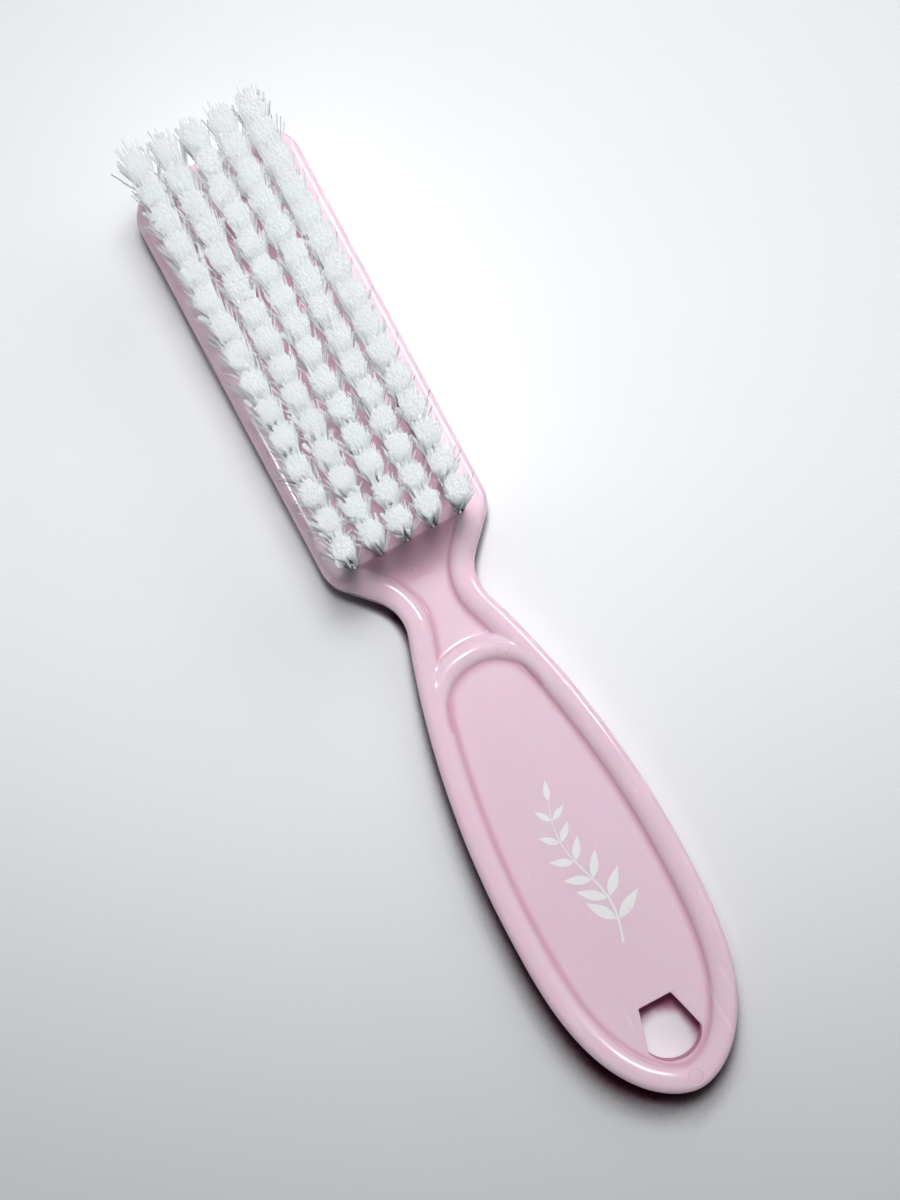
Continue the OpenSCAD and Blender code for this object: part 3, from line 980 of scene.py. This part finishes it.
# The tip: a wider disc, leaning as a tuft, with some ends bent outwards. The right columns are fuller
outer = reach.math("GREATER_THAN", OUTER_FROM)
bent = chance(0.0, 1.0, 3).math("GREATER_THAN", UNBENT) * outer
push = chance(0.1, 1.0, 5)
worn_side = (middle * -40.0 + 0.7).math("MAXIMUM", 0.6)
fuller = (middle * 9.0).math("MAXIMUM", 0.0) * (given["Stretch"] - 1.0) * 6.0 + 1.0
spread = given["Tip Radius"] * fuller + bent * push * given["Fray"] * worn_side
beside = (u * side).math("GREATER_THAN", reach * 0.8)
# Some bent threads beside the gaps get a share of painted shade, which the material paints grey
dim = bent * beside * chance(0.0, 1.0, 29)
tuft_lean_x = chance(-LEAN_X, LEAN_X, 7, tuft) + middle * given["Lean Outwards"]
tuft_lean_y = chance(-LEAN_Y, LEAN_Y, 11, tuft) + given["Lean Along"]
tip_x = middle + u * spread + tuft_lean_x + chance(-STRAY, STRAY, 13)
tip_y = given["Row Place"] + v * spread * given["Stretch"] + tuft_lean_y + chance(-STRAY, STRAY, 17)
lower = chance(0.0, 1.0, 19) ** 2.0 * TRIM_DROP + bent * push * BENT_DROP + strand * given["Strand Drop"]
tip_z = given["Face Height"] + given["Bristle Height"] - lower
curl = chance(0.85, 1.2, 23) * thread + strand * 1.05
thickness = thread * given["Thread Radius"] + strand * given["Strand Radius"]


# %% Tree: a curve for every end
def remember(geometry, name, value, kind):
    """The geometry with one more value stored on its points."""
    return use(tufting, "GeometryNodeStoreNamedAttribute", {
        "Geometry": geometry, "Name": name, "Value": value}, data_type=kind, domain="POINT")


def recall(name):
    """The three numbers that were stored under a name."""
    return parts_of(tufting, use(tufting, "GeometryNodeInputNamedAttribute", {"Name": name},
                                 data_type="FLOAT_VECTOR"))


# One point for each end carries what its curve needs
carried = use(tufting, "GeometryNodePoints", {"Count": given["Tufts"] * ends})
for name, value in (("root", vector(tufting, root_x, root_y, dim)),
                    ("tip", vector(tufting, tip_x, tip_y, tip_z)),
                    ("build", vector(tufting, curl, thickness, strand))):
    carried = remember(carried, name, value, "FLOAT_VECTOR")

# A short line on every point becomes a curve of its own
line = use(tufting, "GeometryNodeCurvePrimitiveLine", {"End": (0.0, 0.0, 0.001)})
cut_line = use(tufting, "GeometryNodeResampleCurve", {"Curve": line, "Count": 8}, mode="COUNT")
lines = use(tufting, "GeometryNodeInstanceOnPoints", {"Points": carried, "Instance": cut_line})
curves = use(tufting, "GeometryNodeRealizeInstances", {"Geometry": lines})

# Straight up inside the hole, then outwards along a slightly curved way
step = use(tufting, "GeometryNodeSplineParameter", output="Factor")
root_a, tip_a, build_a = recall("root"), recall("tip"), recall("build")
floor_z = given["Face Height"] - given["Fold Depth"] * 0.6
z = floor_z + (tip_a[2] - floor_z) * step
free = ((z - given["Face Height"]) / given["Bristle Height"]).math("MAXIMUM", 0.0)
share = free ** build_a[0]
girth = build_a[1] * (build_a[2] * (free - 1.0) * 0.7 + 1.0)
x = root_a[0] + (tip_a[0] - root_a[0]) * share
y = root_a[1] + (tip_a[1] - root_a[1]) * share
shaped = use(tufting, "GeometryNodeSetPosition", {"Geometry": curves, "Position": vector(tufting, x, y, z)})
# Each point keeps its place along the thread and its share of painted shade
marked = remember(remember(shaped, ALONG, free, "FLOAT"), SHADED_THREAD, root_a[2], "FLOAT")


# %% Tree: from curves to coated threads
def finish_tree(tree, geometry):
    """Ends a tree with real meshes that have their material."""
    solid = use(tree, "GeometryNodeRealizeInstances", {"Geometry": geometry})
    coated = use(tree, "GeometryNodeSetMaterial", {"Geometry": solid, "Material": given["Material"]})
    plug(tree, coated, result.inputs["Geometry"])


section = use(tufting, "GeometryNodeCurvePrimitiveCircle", {"Resolution": 5, "Radius": 1.0}, "Curve",
              mode="RADIUS")
swept = use(tufting, "GeometryNodeCurveToMesh", {
    "Curve": marked, "Profile Curve": section, "Scale": girth, "Fill Caps": True})
finish_tree(tufting, swept)

# %% [markdown]
# ## How a tuft takes the light
# White threads pass light on to one another, so a tuft looks like one soft dome and not like a hundred
# hard rods. Turning the normals of a row part of the way towards such a dome over each tuft gives that
# look. Only the shading changes, and every point stays where it is.

# %% Soften the shading of a row
UP_SHARE, ROUND_SHARE, OWN_SHARE = 1.4, 0.35, 0.5


def soften(mesh, row_y):
    """Bends the normals of a row towards those of one soft dome over each tuft."""
    place = np.empty(3 * len(mesh.vertices))
    own = np.empty(3 * len(mesh.vertices))
    mesh.vertices.foreach_get("co", place)
    mesh.vertices.foreach_get("normal", own)
    place, own = place.reshape(-1, 3), own.reshape(-1, 3)
    last = (TUFT_COLUMNS - 1) / 2
    column = np.clip(np.round(place[:, 0] / COLUMN_PITCH), -last, last)
    dome = np.stack([place[:, 0] - column * COLUMN_PITCH, place[:, 1] - row_y, 0 * column], 1) / TIP_R
    way = own * OWN_SHARE + dome * ROUND_SHARE + np.array([0, 0, UP_SHARE])
    way /= np.linalg.norm(way, axis=1)[:, None]
    mesh.normals_split_custom_set_from_vertices(way.tolist())


# %% Grow the rows
FAR_LEAN, NEAR_LEAN, LEAN_OUT, STRETCH = -0.0008, 0.0005, 0.02, 0.16
triangles = 0
for row in range(1, TUFT_ROWS + 1):
    share = (row - 1) / (TUFT_ROWS - 1)
    row_y = NEAR_ROW_Y + (row - 1) * ROW_PITCH
    bristles = grow(f"bristles_row_{row:02d}", tufting, {
        "Row Place": row_y, "Seed": row, "Material": white_nylon,
        "Tufts": TUFT_COLUMNS, "Threads": THREADS, "Strands": STRANDS, "Lean Outwards": LEAN_OUT,
        "Stretch": 1.0 + STRETCH * min(1.0, 2.5 * share),
        "Lean Along": NEAR_LEAN * max(0.0, 1 - 4 * share) + FAR_LEAN * max(0.0, 4 * share - 3)})
    soften(bristles.data, row_y)
    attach(bristles, "root")
    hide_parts(f"tuft_row_{row:02d}")
    triangles += sum(len(p.vertices) - 2 for p in bristles.data.polygons)
print("bristles:", triangles, "triangles")

# %% [markdown]
# ## The anchors
# The anchors are flat bits of metal deep in the holes. Their measured solids already have the right shape,
# so they only get their finish.

# %% Finish of the anchors
for name, node in frame["nodes"].items():
    if name.startswith("anchor_row_"):
        node.data.materials.clear()
        node.data.materials.append(brushed_steel)
print("anchors finished:", sum(n.startswith("anchor_row_") for n in frame["nodes"]))

# %% [markdown]
# ## The printed sprig
# The flat of the handle has room for an ornament in white ink. This one is a plain sprig: a slim curved
# stem, and pairs of leaves that get smaller towards its end. The ink is a real layer, a few hundredths of a
# millimetre thick. The leaves follow the stem, so Geometry Nodes place them: one point for each leaf, put on
# the stem by the stem's own formula, and a leaf on each point, turned away from where the stem points.

# %% Sizes of the sprig
INK_T = 0.00003
SPRIG_FOOT_Y, SPRIG_TOP_Y = -0.0615, -0.0355
STEM_SWING, STEM_W, STEM_TAPER = 0.0014, 0.00042, 0.65
LEAF_L, LEAF_W = 0.0058, 0.0019
LEAF_PAIRS, LEAF_TURN = 6, 48.0
FIRST_LEAF, LEAF_RUN, LAST_SIZE, SHRINK = 0.14, 0.74, 0.6, 0.45

# %% Tree: the stem
sprigging, given, result = new_tree(
    "sprigging", "GeometryNodeTree",
    [("Geometry", "Geometry", None), ("Pairs", "Int", LEAF_PAIRS), ("Foot", "Float", SPRIG_FOOT_Y),
     ("Top", "Float", SPRIG_TOP_Y), ("Swing", "Float", STEM_SWING), ("Stem Width", "Float", STEM_W),
     ("Leaf Length", "Float", LEAF_L), ("Leaf Width", "Float", LEAF_W),
     ("Leaf Turn", "Float", math.radians(LEAF_TURN)), ("Height", "Float", PANEL_Z),
     ("Thickness", "Float", INK_T), ("Material", "Material", None)],
    [("Geometry", "Geometry")])


def on_stem(t):
    """Where the stem is at a share of its length, and the angle it points at there."""
    length = given["Top"] - given["Foot"]
    wave = t * (2 * math.pi)
    lean = wave.math("COSINE") * given["Swing"] * (2 * math.pi) / length
    return wave.math("SINE") * given["Swing"], given["Foot"] + length * t, lean.math("ARCTANGENT") * -1.0


line = use(sprigging, "GeometryNodeCurvePrimitiveLine", {"End": (0.0, 1.0, 0.0)})
cut_line = use(sprigging, "GeometryNodeResampleCurve", {"Curve": line, "Count": 41}, mode="COUNT")
step = use(sprigging, "GeometryNodeSplineParameter", output="Factor")
x, y, _ = on_stem(step)
bent = use(sprigging, "GeometryNodeSetPosition", {
    "Geometry": cut_line, "Position": vector(sprigging, x, y, given["Height"])})
upright = use(sprigging, "GeometryNodeSetCurveNormal", {"Curve": bent}, mode="Z_UP")
section = use(sprigging, "GeometryNodeCurvePrimitiveQuadrilateral", {
    "Width": given["Stem Width"], "Height": given["Thickness"] * 2.0})
stem = use(sprigging, "GeometryNodeCurveToMesh", {
    "Curve": upright, "Profile Curve": section, "Scale": step * -STEM_TAPER + 1.0, "Fill Caps": True})

# %% Tree: one leaf, from a squashed cylinder
blank = use(sprigging, "GeometryNodeMeshCylinder", {"Vertices": 24, "Radius": 1.0, "Depth": 2.0}, "Mesh")
at = parts_of(sprigging, use(sprigging, "GeometryNodeInputPosition"))
share = at[0] * 0.5 + 0.5
swell = ((share ** 0.8) * math.pi).math("SINE").math("MAXIMUM", 0.0) ** 1.1
leaf = use(sprigging, "GeometryNodeSetPosition", {
    "Geometry": blank,
    "Position": vector(sprigging, at[1].math("SIGN") * swell * given["Leaf Width"] * 0.5,
                       share * given["Leaf Length"] + given["Stem Width"] * 0.8,
                       at[2] * given["Thickness"])})

# %% Tree: pairs of leaves up the stem, and one at its end
number = use(sprigging, "GeometryNodeInputIndex")
pair = (number / 2.0).math("FLOOR")
last = number.math("GREATER_THAN", given["Pairs"] * 2 - 0.5)
paired = last * -1.0 + 1.0
hand = (number - pair * 2.0) * 2.0 - 1.0
up = pair / (given["Pairs"] - 1)
x, y, angle = on_stem((up * LEAF_RUN + FIRST_LEAF) * paired + last)
size = (up * -SHRINK + 1.0) * paired + last * LAST_SIZE
points = use(sprigging, "GeometryNodePoints", {"Count": given["Pairs"] * 2 + 1})
placed = use(sprigging, "GeometryNodeSetPosition", {
    "Geometry": points, "Position": vector(sprigging, x, y, given["Height"])})
leaves = use(sprigging, "GeometryNodeInstanceOnPoints", {
    "Points": placed, "Instance": leaf,
    "Rotation": vector(sprigging, 0.0, 0.0, angle - hand * paired * given["Leaf Turn"]),
    "Scale": vector(sprigging, size, size, 1.0)})
together = add(sprigging, "GeometryNodeJoinGeometry", {"Geometry": leaves})
plug(sprigging, stem, together.inputs["Geometry"])
finish_tree(sprigging, out(sprigging, together))

# %% Grow the sprig
sprig = grow("printed_sprig", sprigging, {"Pairs": LEAF_PAIRS, "Material": white_ink})
sprig.data.shade_flat()
tall = [v.co.z for v in sprig.data.vertices]
print("sprig:", len(sprig.data.polygons), "faces, from", round(min(tall), 5), "to", round(max(tall), 5))
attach(sprig, "root")

# %% [markdown]
# ## The floor
# The brush lies on a pale, plain surface. Its colour is painted grey towards the tail and a little towards
# the far side, a painted falloff of the light. Close to the brush it carries a painted shadow: an ambient
# occlusion node measures how open the way to the lamps is from each place, and where it is shut the floor is
# painted dark crimson, like light that has come through pink plastic. A second, wider one paints a soft grey
# shade. Inside the hang hole the painted shadow is paler, and the rest of the paper there stays bright. Far
# from the brush the camera sees a painted glow on the floor, so that it meets the background without a line.
# The glow is for the camera only and lights nothing.

# %% Floor
FLOOR_SIZE = 1.6
PAPER, PAPER_SHADED = (0.93, 0.95, 0.965, 1.0), (0.74, 0.76, 0.78, 1.0)
REACH_HEAD, REACH_TAIL, REACH_WIDE, REACH_IN_HOLE = 0.0025, 0.0100, 0.030, 0.45
HOLE_MIDDLE_Y, HOLE_REACH = -0.0775, 0.0068
CONTACT_SHADOW, HOLE_SHADOW = (0.055, 0.012, 0.025, 1.0), (0.44, 0.14, 0.25, 1.0)
SOFT_SHADE, SKY = (0.42, 0.44, 0.46, 1.0), (0.96, 0.98, 1.0, 1.0)
TO_LAMP = (0.38, 0.78, 0.50)
PICTURE_SLOPE = 0.534

floor_paper, tree, shader, place = new_material("floor_paper")
x, y, _ = parts_of(tree, place)
up_floor = x * PICTURE_SLOPE + y
off_hole = (x ** 2.0 + (y - HOLE_MIDDLE_Y) ** 2.0).math("SQRT").math("GREATER_THAN", HOLE_REACH)
from_brush = (x ** 2.0 + y ** 2.0).math("SQRT")


def way_open(reach, samples):
    """How open the way to the lamps is, as far as the reach goes."""
    return use(tree, "ShaderNodeAmbientOcclusion", {
        "Distance": reach, "Normal": vector(tree, *TO_LAMP)}, "AO", samples=samples)


# Painted falloff of the light: greyer towards the tail and a little towards the far side
low_fade = up_floor.remap(0.005, -0.135, smooth=True) * off_hole
high_fade = up_floor.remap(0.03, 0.13, 0.0, 0.35)
fibre = use_group(tree, mottle, {"Vector": place, "Scale": 14.0})
tint = blend_colour(tree, low_fade + high_fade + fibre * 0.05, PAPER, PAPER_SHADED)
# Painted shadow beside the brush: a soft grey one, and a dark crimson one close to it
dense = y.remap(0.020, 0.004, 0.30, 1.0)
wide = way_open(REACH_WIDE, 4).remap(0.95, 0.45, 0.0, 0.30)
tint = blend_colour(tree, wide * off_hole * dense, tint, SOFT_SHADE)
reach = y.remap(0.012, -0.07, REACH_HEAD, REACH_TAIL) * (off_hole * (1 - REACH_IN_HOLE) + REACH_IN_HOLE)
hidden = way_open(reach, 16).remap(0.76, 0.56)
shade = blend_colour(tree, off_hole, HOLE_SHADOW, CONTACT_SHADOW)
# Painted glow far from the brush, for the camera only
camera_ray = use(tree, "ShaderNodeLightPath", output="Is Camera Ray")
fill_in(tree, shader, {
    "Base Color": blend_colour(tree, hidden * dense, tint, shade),
    "Emission Color": SKY,
    "Emission Strength": from_brush.remap(0.13, 0.42, smooth=True) * camera_ray,
    "Roughness": 0.85,
    "Specular IOR Level": 0.0})
floor = new_object("floor", [(-FLOOR_SIZE, -FLOOR_SIZE, 0), (FLOOR_SIZE, -FLOOR_SIZE, 0),
                             (FLOOR_SIZE, FLOOR_SIZE, 0), (-FLOOR_SIZE, FLOOR_SIZE, 0)], [(0, 1, 2, 3)],
                   floor_paper)
print("floor:", 2 * FLOOR_SIZE, "m wide")

# %% [markdown]
# ## Lamps and room
# The light comes from beyond the head and from the right. Two soft boxes do the lighting, and reflections
# don't show them. Two narrow lamps do the opposite: they only shine, and their reflections are the thin
# highlights on the rims and the arch. The spot's small spread keeps it off the tail. The room is an even,
# cool white. It fills the shadows only weakly, but the camera and the gloss of the plastic see it bright.

# %% Lamps and room
ROOM_STRENGTH = 0.09


def new_lamp(name, place, aim, width, height, power, spread=180):
    """A rectangular soft box that faces a point. A small spread keeps its light near that point."""
    data = bpy.data.lights.new(name, "AREA")
    data.shape, data.size, data.size_y, data.energy = "RECTANGLE", width, height, power
    data.spread = math.radians(spread)
    lamp = bpy.data.objects.new(name, data)
    lamp.location = place
    lamp.rotation_euler = (Vector(aim) - Vector(place)).to_track_quat("-Z", "Y").to_euler()
    bpy.context.scene.collection.objects.link(lamp)
    return lamp


CEILING_AT, WINDOW_AT = (0.06, 0.10, 0.42), (0.34, 0.16, 0.36)
SPOT_AT, STRIP_AT = (0.0125, 0.313, 1.5), (0.370, 0.153, 0.45)
new_lamp("ceiling_box", CEILING_AT, (0, 0.05, 0), 0.11, 0.11, 0.70, 130).visible_glossy = False
new_lamp("window_box", WINDOW_AT, (0, 0, 0), 0.40, 0.30, 0.55).visible_glossy = False
new_lamp("spot_shine", SPOT_AT, (0, 0.02, 0), 0.06, 0.06, 0.0075, 5.2).visible_diffuse = False
new_lamp("strip_shine", STRIP_AT, (0, 0, 0), 0.30, 0.025, 2.7).visible_diffuse = False

world = bpy.data.worlds.new("pale_room")
bpy.context.scene.world = world
world.use_nodes = True
tree = world.node_tree
tree.nodes.clear()
rays = add(tree, "ShaderNodeLightPath")
seen = out(tree, rays, "Is Camera Ray").math("MAXIMUM", out(tree, rays, "Is Glossy Ray"))
seen = seen.math("MAXIMUM", out(tree, rays, "Is Transmission Ray"))
strength = seen * (1 - ROOM_STRENGTH) + ROOM_STRENGTH
air = use(tree, "ShaderNodeBackground", {"Color": SKY, "Strength": strength})
add(tree, "ShaderNodeOutputWorld", {"Surface": air})
bpy.context.scene.view_settings.view_transform = "Standard"
